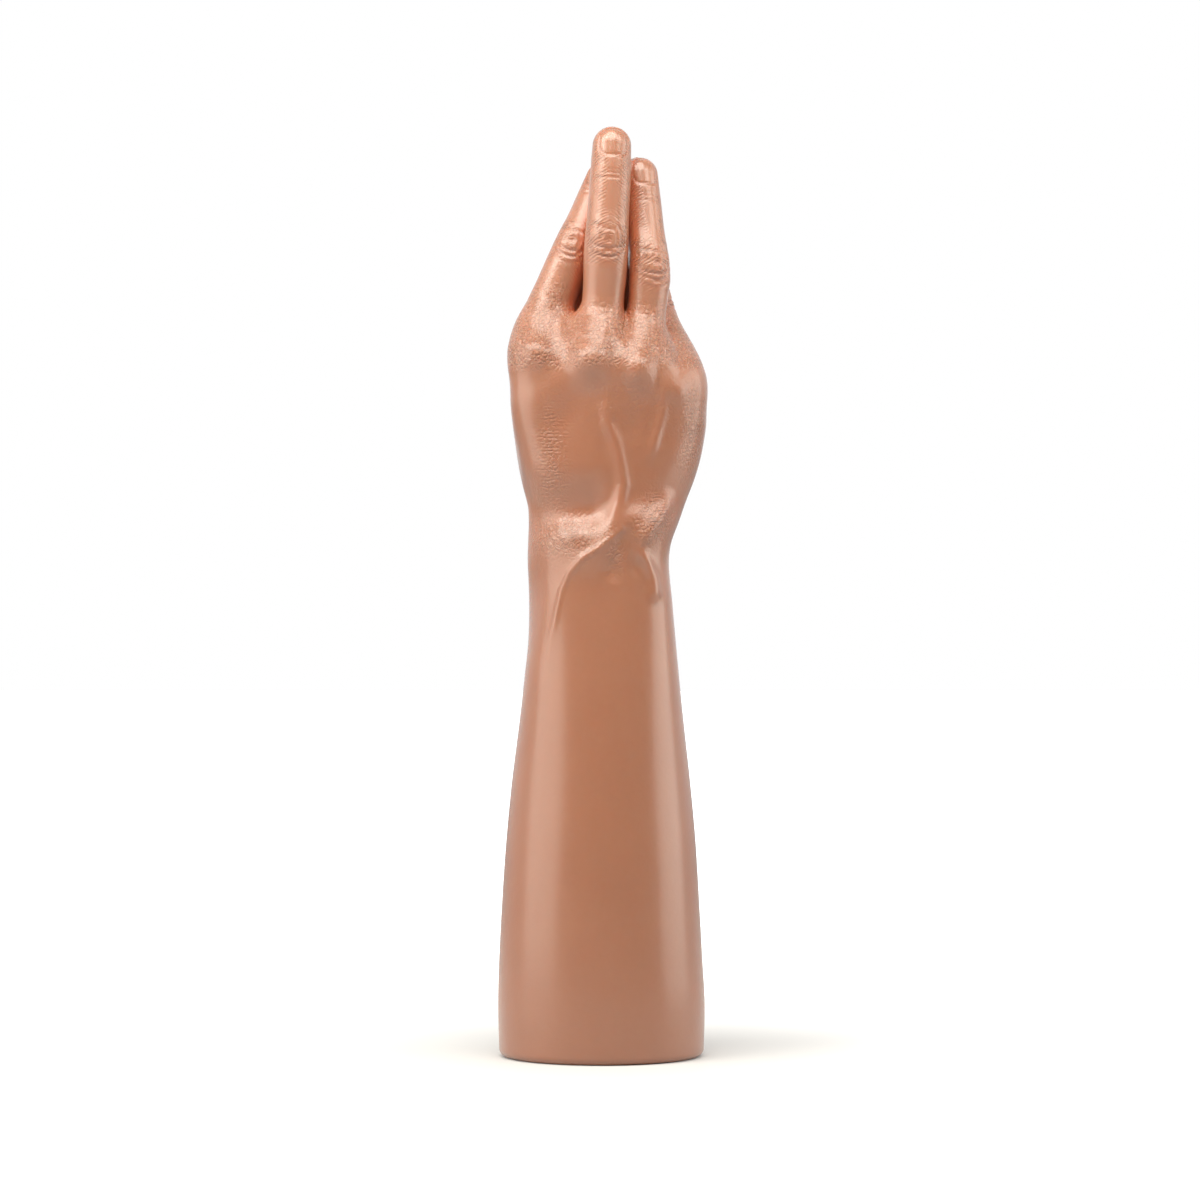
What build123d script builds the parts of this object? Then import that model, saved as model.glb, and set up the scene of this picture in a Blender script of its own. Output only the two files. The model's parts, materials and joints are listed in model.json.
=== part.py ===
"""A passive (cosmetic) prosthetic right hand with a forearm, standing on its open end. Millimetres.

Frame: origin at the middle of the base on the resting plane, +Z from the base to the fingertips,
-Y out of the back of the hand, +X towards the little finger.
"""

import os
from build123d import *

os.makedirs("parts", exist_ok=True)

# ---------------------------------------------------------------- driving dimensions
HEIGHT = 360.0  # base to the tip of the middle finger
BASE_HALF_WIDTH = 40.2  # the widest of the forearm, just above the base
BASE_HALF_DEPTH = 36.0
WRIST_Z = 196.0  # the plane in which the hand turns on the forearm
WRIST_X = -1.0  # the wrist's turning axis, parallel to Z
WRIST_GAP = 0.6  # between the hand's glove and the forearm's cover
SKIN_WALL = 3.0  # the soft cover of the forearm
GLOVE_WALL = 2.5  # the soft glove of the hand
FIT = 0.1  # between pieces that are bonded or rolled onto each other
CORE_GAP = 0.3  # between the foam core and the glove that is rolled over it
RUN = 0.05  # radial clearance of the wrist's turning fit
BASE_EDGE = 2.4  # rounding of the cover's bottom edge
RIM = 3.0  # thickness of the cover where it is turned in under the frame and the socket
RIM_EDGE = 1.0  # rounding of the turned-in rim's mouth

# forearm outline: height, half width, half depth, sideways shift of its middle
FOREARM_STATIONS = [
    (0.0, BASE_HALF_WIDTH - 0.3, BASE_HALF_DEPTH - 0.3, 0.0),
    (20.0, BASE_HALF_WIDTH, BASE_HALF_DEPTH, 0.0),
    (60.0, 38.3, 34.4, -0.3),
    (106.0, 34.7, 30.8, -0.2),
    (145.0, 30.4, 26.2, 0.0),
    (172.0, 28.0, 22.4, -0.4),
    (WRIST_Z, 27.6, 20.6, WRIST_X),
]

# palm outline: height, half width, half depth, shift in X, shift in Y
PALM_STATIONS = [
    (WRIST_Z, 27.6, 20.6, WRIST_X, 0.0),
    (208.0, 29.4, 21.8, 0.6, 1.0),
    (222.0, 33.4, 24.4, 2.2, 2.5),
    (240.0, 36.6, 26.4, 2.8, 4.2),
    (258.0, 37.1, 25.0, 2.8, 3.4),
    (272.0, 35.8, 20.4, 1.0, 1.0),
    (286.0, 29.0, 13.0, -1.0, -1.0),
]

# each digit: centre and radius at its root inside the palm, at its three joints and at its tip
DIGITS = {
    "index": [
        ((-20.0, 0.0, 250.0), 8.0),
        ((-25.4, -3.0, 274.0), 9.6),
        ((-13.6, 2.4, 314.0), 8.5),
        ((-4.8, 7.0, 334.0), 7.5),
        ((0.0, 9.0, 343.5), 6.7),
    ],
    "middle": [
        ((0.0, -6.0, 250.0), 8.5),
        ((-0.6, -11.5, 274.0), 9.8),
        ((1.8, -10.0, 312.5), 8.8),
        ((3.6, -6.8, 338.5), 8.1),
        ((4.1, -5.0, HEIGHT - 7.4), 7.4),
    ],
    "ring": [
        ((13.0, -4.0, 250.0), 8.0),
        ((18.2, -8.0, 272.0), 9.2),
        ((18.6, -4.4, 306.5), 8.1),
        ((15.5, 2.6, 330.0), 7.3),
        ((14.3, 5.2, 341.6), 6.9),
    ],
    "little": [
        ((24.0, 2.0, 243.0), 7.4),
        ((30.6, 2.4, 264.0), 8.4),
        ((22.0, 10.6, 294.0), 7.1),
        ((15.6, 12.8, 312.0), 6.6),
        ((12.8, 13.4, 320.5), 6.1),
    ],
    "thumb": [
        ((-10.0, 8.0, 216.0), 9.0),
        ((-16.0, 15.0, 234.0), 13.0),
        ((-14.0, 22.6, 257.0), 11.4),
        ((-5.0, 19.0, 285.0), 9.4),
        ((0.6, 12.4, 301.0), 8.2),
    ],
}

# forearm frame and socket
FRAME_WALL = 2.5
SOCKET_WALL = 3.0
FRAME_TOP = 186.0
SOCKET_TOP = 132.0
SOCKET_DOME = 14.0

# wrist unit
RING_RADIUS = 15.2
RING_LOW = 170.0
FLANGE_TOP = 190.0
FLANGE_HALF_AXES = (24.0, 17.0)  # the flange lies on the frame's end, inside the cover
BUSH_RADIUS = 12.5
BUSH_LIP_RADIUS = 14.6
BUSH_LIP = 1.5
ROTOR_RADIUS = 9.5
ROTOR_LOW = 164.0
ROTOR_HEAD_RADIUS = 14.6
ROTOR_CHAMFER = 0.8
AXIAL_GAP = 0.3
BUSH_SLIT = 1.2
SET_SCREW_RADIUS = 2.5
SET_SCREW_LENGTH = 5.5
SET_SCREW_Z = 179.0
SET_SCREW_KEY = 1.45  # to the corners of its hexagon socket
SET_SCREW_KEY_DEPTH = 2.2
CIRCLIP_THICKNESS = 1.6
CIRCLIP_RADIUS = 12.6
CIRCLIP_GROOVE = 1.2  # depth of its groove in the rotor
CIRCLIP_MOUTH = (9.0, 11.0)  # the opening between the clip's two ears
CIRCLIP_EAR = (7.5, -9.5)
CIRCLIP_EAR_RADIUS = 1.9
CIRCLIP_EAR_HOLE = 0.8

# hand plate, stud and armature
STUD_RADIUS = 6.0  # M12
STUD_LOW = 168.0
STUD_CHAMFER = 0.9
STUD_STANDOUT = 1.5  # above its nut
TAP_RELIEF = 1.0  # of the rotor's hole below the stud
HAND_PLATE_RADIUS = 17.0
HAND_PLATE = 3.0
HAND_PLATE_CHAMFER = 0.5
BRACKET_RADIUS = 15.0
BRACKET_WALL = 2.5
BRACKET_BACK = -13.2  # the Y of the bracket's upright face that is nearest the back of the hand
BRACKET_TOP = 226.0
BRACKET_HALF_WIDTH = 15.6
BRACKET_NECK = (16.0, 8.0)  # width and height of the narrow part between its foot and its upright
BRACKET_CORNER = 3.0
NUT_FLATS = 18.0
NUT_HEIGHT = 6.0
WASHER_RADIUS = 10.4
WASHER = 1.2
WIRE_RADIUS = 1.6
WIRE_PITCH = 6.6
WIRE_LOW = 211.0
WIRE_STRAIGHT_TOP = 229.0
WIRE_BEND_RADIUS = 12.0
CLAMP_BAR = 2.4
CLAMP_LENGTH = 30.6
CLAMP_CORNER = 2.0
CLAMP_LOW = 213.0
CLAMP_HIGH = 222.0
CLAMP_SCREW_RADIUS = 1.5  # M3
CLAMP_HEAD_RADIUS = 2.7
CLAMP_HEAD = 1.8
CLAMP_HEAD_ROUND = 0.7
CLAMP_KEY = 1.15  # to the corners of the screws' hexagon sockets
CLAMP_KEY_DEPTH = 1.1
POCKET_GAP = 0.5  # between the foam core and the hardware it is moulded around

ROTOR_TOP = WRIST_Z + WRIST_GAP / 2 - FIT
HAND_PLATE_LOW = ROTOR_TOP
BRACKET_LOW = HAND_PLATE_LOW + HAND_PLATE
BRACKET_FACE = BRACKET_BACK + BRACKET_WALL  # the wires lie on this face
CLAMP_SCREW_X = [WRIST_X - 1.5 * WIRE_PITCH, WRIST_X + 1.5 * WIRE_PITCH]


# ---------------------------------------------------------------- shared forms
def forearm_form(inset, low, high):
    """The forearm's outline, drawn in by inset, from height low to high."""
    with BuildPart() as form:
        for z, half_width, half_depth, shift in FOREARM_STATIONS:
            with BuildSketch(Plane.XY.offset(z)):
                with Locations((shift, 0)):
                    Ellipse(half_width - inset, half_depth - inset)
        loft()
        split(bisect_by=Plane.XY.offset(high), keep=Keep.BOTTOM)
        split(bisect_by=Plane.XY.offset(low), keep=Keep.TOP)
    return form.part


def palm_form(inset, low):
    """The palm's outline, drawn in by inset, from height low up."""
    with BuildPart() as form:
        for z, half_width, half_depth, shift_x, shift_y in PALM_STATIONS:
            top = z == PALM_STATIONS[-1][0]
            with BuildSketch(Plane.XY.offset(z - inset if top else z)):
                with Locations((shift_x, shift_y)):
                    Ellipse(half_width - inset, half_depth - inset)
        loft()
        split(bisect_by=Plane.XY.offset(low), keep=Keep.TOP)
    return form.part


def digit_form(name, inset):
    """One digit as a tapered, gently bent rod with a round tip, drawn in by inset."""
    centres = [Vector(*centre) for centre, _ in DIGITS[name]]
    radii = [radius - inset for _, radius in DIGITS[name]]
    runs = [(high - low).normalized() for low, high in zip(centres, centres[1:])]
    directions = [runs[0]] + [(a + b).normalized() for a, b in zip(runs, runs[1:])] + [runs[-1]]
    with BuildPart() as form:
        for centre, radius, direction in zip(centres, radii, directions):
            with BuildSketch(Plane(origin=centre, z_dir=direction)):
                Circle(radius)
        loft()
        with Locations(Plane(origin=centres[-1], z_dir=directions[-1])):
            Sphere(radii[-1], arc_size1=0, align=(Align.CENTER, Align.CENTER, Align.MIN))
    return form.part


def hand_form(inset, low):
    """The whole hand, palm and digits, drawn in by inset."""
    with BuildPart() as form:
        add(palm_form(inset, low))
        for name in DIGITS:
            add(digit_form(name, inset))
    return form.part


def wire_route(name, order):
    """The points of one armature wire, from its end under the clamp to the fingertip."""
    x = WRIST_X + (order - 2) * WIRE_PITCH
    y = BRACKET_FACE + WIRE_RADIUS
    _, knuckle, middle_joint, end_joint, tip = [Vector(*centre) for centre, _ in DIGITS[name]]
    if name == "thumb":
        knuckle = (knuckle + middle_joint) / 2
    return [
        Vector(x, y, WIRE_LOW),
        Vector(x, y, WIRE_STRAIGHT_TOP),
        knuckle,
        middle_joint,
        end_joint,
        tip,
    ]


def wire_form(name, order, radius):
    """A round rod of that radius along one wire's route."""
    points = wire_route(name, order)
    with BuildPart() as form:
        with BuildLine() as path:
            FilletPolyline(*points, radius=WIRE_BEND_RADIUS)
        with BuildSketch(Plane(origin=points[0], z_dir=points[1] - points[0])):
            Circle(radius)
        sweep(path=path.wires()[0])
    return form.part


def write(piece, name):
    """Labels a finished piece and writes it as its own STEP file."""
    piece.part.label = name
    export_step(piece.part, f"parts/{name}.step")


# ---------------------------------------------------------------- forearm
frame_outside = SKIN_WALL + FIT
frame_inside = frame_outside + FRAME_WALL
socket_outside = frame_inside + FIT
mouth = socket_outside + SOCKET_WALL

# the cover is turned in under the frame and the socket, which makes the rim the part stands on
with BuildPart() as forearm_cover:
    add(forearm_form(0, 0, WRIST_Z - WRIST_GAP / 2))
    fillet(forearm_cover.faces().sort_by(Axis.Z)[0].edges(), BASE_EDGE)
    add(forearm_form(SKIN_WALL, RIM, WRIST_Z), mode=Mode.SUBTRACT)
    add(forearm_form(mouth, 0, RIM), mode=Mode.SUBTRACT)
    fillet(forearm_cover.faces().sort_by(Axis.Z)[0].edges().sort_by(SortBy.LENGTH)[0], RIM_EDGE)
write(forearm_cover, "forearm_cover")

with BuildPart() as forearm_frame:
    add(forearm_form(frame_outside, RIM + FIT, FRAME_TOP))
    add(forearm_form(frame_inside, 0, WRIST_Z), mode=Mode.SUBTRACT)
write(forearm_frame, "forearm_frame")

with BuildPart() as socket_inside:
    add(forearm_form(mouth, 0, SOCKET_TOP - SOCKET_WALL))
    fillet(socket_inside.faces().sort_by(Axis.Z)[-1].edges(), SOCKET_DOME - SOCKET_WALL)
with BuildPart() as inner_socket:
    add(forearm_form(socket_outside, RIM + FIT, SOCKET_TOP))
    fillet(inner_socket.faces().sort_by(Axis.Z)[-1].edges(), SOCKET_DOME)
    add(socket_inside.part, mode=Mode.SUBTRACT)
write(inner_socket, "inner_socket")

# ---------------------------------------------------------------- wrist unit, forearm side
with BuildPart() as wrist_ring:
    with BuildSketch(Plane.XY.offset(RING_LOW)):
        with Locations((WRIST_X, 0)):
            Circle(RING_RADIUS)
    extrude(amount=FLANGE_TOP - RING_LOW)
    with BuildSketch(Plane.XY.offset(FRAME_TOP)):
        with Locations((WRIST_X, 0)):
            Ellipse(*FLANGE_HALF_AXES)
    extrude(amount=FLANGE_TOP - FRAME_TOP)
    with Locations((WRIST_X, 0, FLANGE_TOP)):
        CounterBoreHole(BUSH_RADIUS, BUSH_LIP_RADIUS, BUSH_LIP, depth=FLANGE_TOP - RING_LOW)
    for side in (-1, 1):
        face = Plane(origin=(WRIST_X + side * ROTOR_RADIUS, 0, SET_SCREW_Z), z_dir=(side, 0, 0))
        with BuildSketch(face):
            Circle(SET_SCREW_RADIUS)
        extrude(amount=RING_RADIUS, mode=Mode.SUBTRACT)
write(wrist_ring, "wrist_ring")

with BuildPart() as friction_bush:
    with BuildSketch(Plane.XY.offset(RING_LOW)):
        with Locations((WRIST_X, 0)):
            Circle(BUSH_RADIUS)
            Circle(ROTOR_RADIUS + RUN, mode=Mode.SUBTRACT)
    extrude(amount=FLANGE_TOP - RING_LOW)
    with BuildSketch(Plane.XY.offset(FLANGE_TOP - BUSH_LIP)):
        with Locations((WRIST_X, 0)):
            Circle(BUSH_LIP_RADIUS)
            Circle(ROTOR_RADIUS + RUN, mode=Mode.SUBTRACT)
    extrude(amount=BUSH_LIP)
    # one slit along the bush lets the set screws close it onto the rotor
    with BuildSketch(Plane.XY.offset(RING_LOW)):
        with Locations((WRIST_X, BUSH_RADIUS)):
            Rectangle(BUSH_SLIT, BUSH_RADIUS)
    extrude(amount=FLANGE_TOP - RING_LOW, mode=Mode.SUBTRACT)
write(friction_bush, "friction_bush")

with BuildPart() as friction_set_screws:
    for side in (-1, 1):
        start = Plane(
            origin=(WRIST_X + side * (BUSH_RADIUS + FIT), 0, SET_SCREW_Z), z_dir=(side, 0, 0)
        )
        with BuildSketch(start):
            Circle(SET_SCREW_RADIUS - RUN)
        extrude(amount=SET_SCREW_LENGTH)
        with BuildSketch(start.offset(SET_SCREW_LENGTH)):
            RegularPolygon(SET_SCREW_KEY, 6)
        extrude(amount=-SET_SCREW_KEY_DEPTH, mode=Mode.SUBTRACT)
write(friction_set_screws, "friction_set_screws")

# ---------------------------------------------------------------- wrist unit, hand side
head_low = FLANGE_TOP + AXIAL_GAP
circlip_low = RING_LOW - AXIAL_GAP - CIRCLIP_THICKNESS
with BuildPart() as wrist_rotor:
    with BuildSketch(Plane.XY.offset(ROTOR_LOW)):
        with Locations((WRIST_X, 0)):
            Circle(ROTOR_RADIUS)
    extrude(amount=ROTOR_TOP - ROTOR_LOW)
    with BuildSketch(Plane.XY.offset(head_low)):
        with Locations((WRIST_X, 0)):
            Circle(ROTOR_HEAD_RADIUS)
    extrude(amount=ROTOR_TOP - head_low)
    with BuildSketch(Plane.XY.offset(circlip_low - RUN)):
        with Locations((WRIST_X, 0)):
            Circle(BUSH_RADIUS)
            Circle(ROTOR_RADIUS - CIRCLIP_GROOVE, mode=Mode.SUBTRACT)
    extrude(amount=CIRCLIP_THICKNESS + 2 * RUN, mode=Mode.SUBTRACT)
    with Locations((WRIST_X, 0, ROTOR_TOP)):
        Hole(STUD_RADIUS + RUN, depth=ROTOR_TOP - STUD_LOW + TAP_RELIEF)
    chamfer(wrist_rotor.faces().sort_by(Axis.Z)[0].edges(), ROTOR_CHAMFER)
write(wrist_rotor, "wrist_rotor")

with BuildPart() as rotor_circlip:
    with BuildSketch(Plane.XY.offset(circlip_low)):
        with Locations((WRIST_X, 0)):
            Circle(CIRCLIP_RADIUS)
            Circle(ROTOR_RADIUS - CIRCLIP_GROOVE + RUN, mode=Mode.SUBTRACT)
        with Locations((WRIST_X, -CIRCLIP_RADIUS)):
            Rectangle(*CIRCLIP_MOUTH, mode=Mode.SUBTRACT)
        for side in (-1, 1):
            with Locations((WRIST_X + side * CIRCLIP_EAR[0], CIRCLIP_EAR[1])):
                Circle(CIRCLIP_EAR_RADIUS)
                Circle(CIRCLIP_EAR_HOLE, mode=Mode.SUBTRACT)
    extrude(amount=CIRCLIP_THICKNESS)
write(rotor_circlip, "rotor_circlip")

with BuildPart() as hand_plate:
    with BuildSketch(Plane.XY.offset(HAND_PLATE_LOW)):
        with Locations((WRIST_X, 0)):
            Circle(HAND_PLATE_RADIUS)
            Circle(STUD_RADIUS + RUN, mode=Mode.SUBTRACT)
    extrude(amount=HAND_PLATE)
    plate_rim = hand_plate.faces().sort_by(Axis.Z)[-1].edges().sort_by(SortBy.LENGTH)[-1]
    chamfer(plate_rim, HAND_PLATE_CHAMFER)
write(hand_plate, "hand_plate")

stud_top = BRACKET_LOW + BRACKET_WALL + WASHER + NUT_HEIGHT + STUD_STANDOUT
with BuildPart() as wrist_stud:
    with BuildSketch(Plane.XY.offset(STUD_LOW)):
        with Locations((WRIST_X, 0)):
            Circle(STUD_RADIUS)
    extrude(amount=stud_top - STUD_LOW)
    chamfer(wrist_stud.faces().filter_by(Axis.Z).edges(), STUD_CHAMFER)
write(wrist_stud, "wrist_stud")

# ---------------------------------------------------------------- hand armature
neck_width, neck_height = BRACKET_NECK
upright_low = BRACKET_LOW + neck_height
with BuildPart() as armature_bracket:
    with BuildSketch(Plane.XY.offset(BRACKET_LOW)):
        with Locations((WRIST_X, 0)):
            Circle(BRACKET_RADIUS)
        with Locations((WRIST_X, BRACKET_BACK)):
            Rectangle(
                2 * BRACKET_RADIUS,
                BRACKET_RADIUS,
                align=(Align.CENTER, Align.MAX),
                mode=Mode.SUBTRACT,
            )
    extrude(amount=BRACKET_WALL)
    with BuildSketch(Plane.XY.offset(BRACKET_LOW)):
        with Locations((WRIST_X, (BRACKET_BACK + BRACKET_FACE) / 2)):
            Rectangle(neck_width, BRACKET_WALL)
    extrude(amount=neck_height)
    upright = Plane(origin=(WRIST_X, BRACKET_BACK, 0), x_dir=(1, 0, 0), z_dir=(0, 1, 0))
    with BuildSketch(upright):
        with Locations((0, -(upright_low + BRACKET_TOP) / 2)):
            RectangleRounded(2 * BRACKET_HALF_WIDTH, BRACKET_TOP - upright_low, BRACKET_CORNER)
    extrude(amount=BRACKET_WALL)
    with BuildSketch(Plane.XY.offset(BRACKET_LOW)):
        with Locations((WRIST_X, 0)):
            Circle(STUD_RADIUS + RUN)
    extrude(amount=BRACKET_WALL, mode=Mode.SUBTRACT)
    with BuildSketch(upright):
        with Locations(*[(x - WRIST_X, -(CLAMP_LOW + CLAMP_HIGH) / 2) for x in CLAMP_SCREW_X]):
            Circle(CLAMP_SCREW_RADIUS + RUN)
    extrude(amount=BRACKET_WALL, mode=Mode.SUBTRACT)
write(armature_bracket, "armature_bracket")

with BuildPart() as stud_washer:
    with BuildSketch(Plane.XY.offset(BRACKET_LOW + BRACKET_WALL)):
        with Locations((WRIST_X, 0)):
            Circle(WASHER_RADIUS)
            Circle(STUD_RADIUS + RUN, mode=Mode.SUBTRACT)
    extrude(amount=WASHER)
write(stud_washer, "stud_washer")

with BuildPart() as stud_nut:
    with BuildSketch(Plane.XY.offset(BRACKET_LOW + BRACKET_WALL + WASHER)):
        with Locations((WRIST_X, 0)):
            RegularPolygon(NUT_FLATS / 2, 6, major_radius=False)
            Circle(STUD_RADIUS + RUN, mode=Mode.SUBTRACT)
    extrude(amount=NUT_HEIGHT)
write(stud_nut, "stud_nut")

clamp_face = Plane(
    origin=(WRIST_X, BRACKET_FACE + 2 * WIRE_RADIUS, (CLAMP_LOW + CLAMP_HIGH) / 2),
    x_dir=(1, 0, 0),
    z_dir=(0, 1, 0),
)
screw_places = [(x - WRIST_X, 0) for x in CLAMP_SCREW_X]
with BuildPart() as wire_clamp:
    with BuildSketch(clamp_face):
        RectangleRounded(CLAMP_LENGTH, CLAMP_HIGH - CLAMP_LOW, CLAMP_CORNER)
        with Locations(*screw_places):
            Circle(CLAMP_SCREW_RADIUS + RUN, mode=Mode.SUBTRACT)
    extrude(amount=CLAMP_BAR)
write(wire_clamp, "wire_clamp")

with BuildPart() as clamp_screws:
    with BuildSketch(clamp_face.offset(CLAMP_BAR)):
        with Locations(*screw_places):
            Circle(CLAMP_HEAD_RADIUS)
    extrude(amount=CLAMP_HEAD)
    fillet(clamp_screws.faces().sort_by(Axis.Y)[-2:].edges(), CLAMP_HEAD_ROUND)
    with BuildSketch(clamp_face.offset(CLAMP_BAR)):
        with Locations(*screw_places):
            Circle(CLAMP_SCREW_RADIUS)
    extrude(amount=-(CLAMP_BAR + 2 * WIRE_RADIUS + BRACKET_WALL))
    with BuildSketch(clamp_face.offset(CLAMP_BAR + CLAMP_HEAD)):
        with Locations(*screw_places):
            RegularPolygon(CLAMP_KEY, 6)
    extrude(amount=-CLAMP_KEY_DEPTH, mode=Mode.SUBTRACT)
write(clamp_screws, "clamp_screws")

WIRE_ORDER = ["thumb", "index", "middle", "ring", "little"]
wires = {name: wire_form(name, order, WIRE_RADIUS) for order, name in enumerate(WIRE_ORDER)}
for name, wire in wires.items():
    with BuildPart() as digit_wire:
        add(wire)
    write(digit_wire, f"{name}_wire")

# ---------------------------------------------------------------- foam core and glove
core_low = HAND_PLATE_LOW + HAND_PLATE
with BuildPart() as hardware_pocket:
    with BuildSketch(Plane.XY.offset(core_low)):
        with Locations((WRIST_X, 0)):
            Circle(BRACKET_RADIUS + FIT)
    extrude(amount=stud_top + POCKET_GAP - core_low)
    clamp_back = BRACKET_FACE + 2 * WIRE_RADIUS + CLAMP_BAR + CLAMP_HEAD
    with BuildSketch(Plane.XY.offset(core_low)):
        with Locations((WRIST_X, (BRACKET_BACK + clamp_back) / 2)):
            Rectangle(
                2 * (BRACKET_HALF_WIDTH + POCKET_GAP),
                clamp_back - BRACKET_BACK + 2 * POCKET_GAP,
            )
    extrude(amount=BRACKET_TOP + POCKET_GAP - core_low)
    for order, name in enumerate(WIRE_ORDER):
        add(wire_form(name, order, WIRE_RADIUS + FIT))

with BuildPart() as foam_core:
    add(hand_form(GLOVE_WALL + CORE_GAP, core_low))
    add(hardware_pocket.part, mode=Mode.SUBTRACT)
write(foam_core, "foam_core")

with BuildPart() as hand_glove:
    add(hand_form(0, WRIST_Z + WRIST_GAP / 2))
    add(hand_form(GLOVE_WALL, WRIST_Z), mode=Mode.SUBTRACT)
write(hand_glove, "hand_glove")
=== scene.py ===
"""A lifelike prosthetic right hand and forearm: one continuous skin over the CAD pieces, in metres."""
import json
import math

import bpy
import numpy as np
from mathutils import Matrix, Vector


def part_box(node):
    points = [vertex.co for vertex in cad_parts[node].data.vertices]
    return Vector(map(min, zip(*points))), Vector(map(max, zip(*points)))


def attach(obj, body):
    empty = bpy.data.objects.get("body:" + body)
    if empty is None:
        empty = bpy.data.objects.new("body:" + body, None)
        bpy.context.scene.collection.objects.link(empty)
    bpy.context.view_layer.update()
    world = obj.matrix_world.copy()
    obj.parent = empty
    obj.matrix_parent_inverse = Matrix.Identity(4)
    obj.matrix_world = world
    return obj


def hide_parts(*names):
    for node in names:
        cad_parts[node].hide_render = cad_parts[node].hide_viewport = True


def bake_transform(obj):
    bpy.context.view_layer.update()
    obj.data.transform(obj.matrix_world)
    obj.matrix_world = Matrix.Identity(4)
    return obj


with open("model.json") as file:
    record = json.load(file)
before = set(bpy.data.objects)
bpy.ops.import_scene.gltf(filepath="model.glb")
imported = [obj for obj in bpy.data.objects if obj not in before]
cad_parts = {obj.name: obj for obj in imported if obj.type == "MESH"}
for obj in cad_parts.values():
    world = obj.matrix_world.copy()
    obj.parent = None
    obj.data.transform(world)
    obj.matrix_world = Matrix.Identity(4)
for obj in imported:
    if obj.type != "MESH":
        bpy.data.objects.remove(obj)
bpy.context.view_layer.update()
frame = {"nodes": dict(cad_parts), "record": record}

MM = 0.001

# ---------------------------------------------------------------- sizes, in mm, in the row frame
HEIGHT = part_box("hand_glove")[1][2] / MM
JOIN_Z = 150.0  # the rings of the forearm meet the sculpted wrist here
HAND_Z = 176.0  # the hand's own shapes start here
FAR = 60.0  # further than any shape reaches
DIGIT_REACH = 26.0  # how far from a digit its shape is worked out
GRID = 0.58  # spacing of the grid that the hand is sculpted on
CORE_INSET = 2.9  # from the outside of the skin to the foam core
RIM = 3.0  # height of the cover's turned-in rim
BASE_EDGE = 3.0  # radius of the rounded edge at the base
MOUTH = 8.7  # from the outside of the cover to the socket's mouth

# forearm: height, left edge, right edge, half depth
FOREARM = np.array([
    (0.0, -39.7, 39.6, 35.7), (20.0, -40.2, 40.1, 36.0), (37.0, -39.8, 39.2, 35.6),
    (60.0, -38.6, 37.9, 34.4), (83.0, -37.0, 36.5, 32.8), (106.0, -34.8, 34.4, 30.6),
    (130.0, -31.8, 31.8, 28.0), (145.0, -30.1, 30.3, 26.2), (161.0, -28.5, 28.8, 24.1),
    (177.0, -28.2, 27.4, 22.3), (192.0, -28.7, 26.3, 21.0), (206.0, -28.4, 28.0, 20.4),
])

# digits: x, y, z and radius from the knuckle to the tip
DIGITS = {
    "index": [(-26.6, -5.0, 271.0, 10.2), (-19.6, 1.4, 291.5, 8.9), (-10.8, 2.8, 313.0, 8.3),
              (-6.0, 5.4, 324.0, 7.6), (-2.2, 7.9, 333.5, 7.3), (0.7, 9.3, 341.0, 6.9)],
    "middle": [(-1.2, -12.0, 269.0, 10.4), (0.6, -6.6, 289.0, 8.3), (1.7, -9.2, 311.5, 8.6),
               (2.6, -7.9, 326.0, 8.1), (3.4, -6.4, 339.5, 7.95), (4.0, -4.8, HEIGHT - 7.5, 7.5)],
    "ring": [(16.5, -9.0, 266.0, 9.9), (18.3, -3.4, 286.0, 8.2), (18.5, -4.3, 304.5, 8.1),
             (17.2, -0.9, 319.0, 7.3), (16.0, 1.9, 331.0, 7.2), (14.9, 4.0, 342.0, 7.0)],
    "little": [(30.6, 0.5, 262.0, 9.6), (27.4, 6.0, 277.0, 8.2), (21.6, 10.6, 292.0, 7.3),
               (18.2, 12.2, 302.0, 6.7), (15.4, 13.1, 311.5, 6.6), (12.9, 13.7, 320.0, 6.2)],
    "thumb": [(-16.0, 10.0, 222.0, 12.5), (-17.0, 17.5, 243.0, 12.2), (-14.0, 21.5, 259.0, 10.8),
              (-9.5, 20.6, 274.0, 9.2), (-5.0, 18.6, 285.5, 9.4), (0.4, 13.4, 300.0, 8.3)],
}
# bones of the palm: two ends with their radii
PALM_BONES = [
    ((-12.5, -3.5, 203.0, 14.6), (-24.0, -5.4, 266.0, 10.9)),
    ((-4.0, -5.4, 203.0, 14.0), (-2.0, -9.6, 267.0, 10.8)),
    ((6.0, -4.6, 203.0, 13.8), (14.6, -7.6, 263.0, 10.5)),
    ((12.5, -1.0, 203.0, 13.8), (28.2, -0.8, 257.0, 11.8)),
]
# soft masses of the palm: centre, half axes, lean in X per mm of height
PALM_MASSES = [
    ((-15.5, 9.0, 234.0), (17.0, 16.0, 31.0), -0.05),
    ((23.0, 7.0, 234.0), (15.6, 16.5, 30.0), 0.12),
    ((2.0, 4.0, 246.0), (26.0, 14.0, 32.0), 0.0),
    ((-13.5, -3.6, 266.0), (11.5, 14.6, 20.5), 0.2),
    ((8.4, -4.6, 263.0), (9.5, 14.0, 20.0), 0.05),
    ((23.0, 0.0, 259.0), (9.0, 12.8, 18.0), -0.05),
]
# deep skin between the fingers: centre and half axes
DEEP_WEBS = [((-9.8, 7.5, 291.0), (3.2, 4.0, 10.0)), ((10.4, 6.6, 300.0), (3.2, 4.0, 24.0))]


def smooth_min(a, b, k):
    h = np.clip(0.5 + 0.5 * (b - a) / k, 0.0, 1.0)
    return b + (a - b) * h - k * h * (1.0 - h)


def smoothstep(low, high, value):
    t = np.clip((value - low) / (high - low), 0.0, 1.0)
    return t * t * (3.0 - 2.0 * t)


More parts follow.
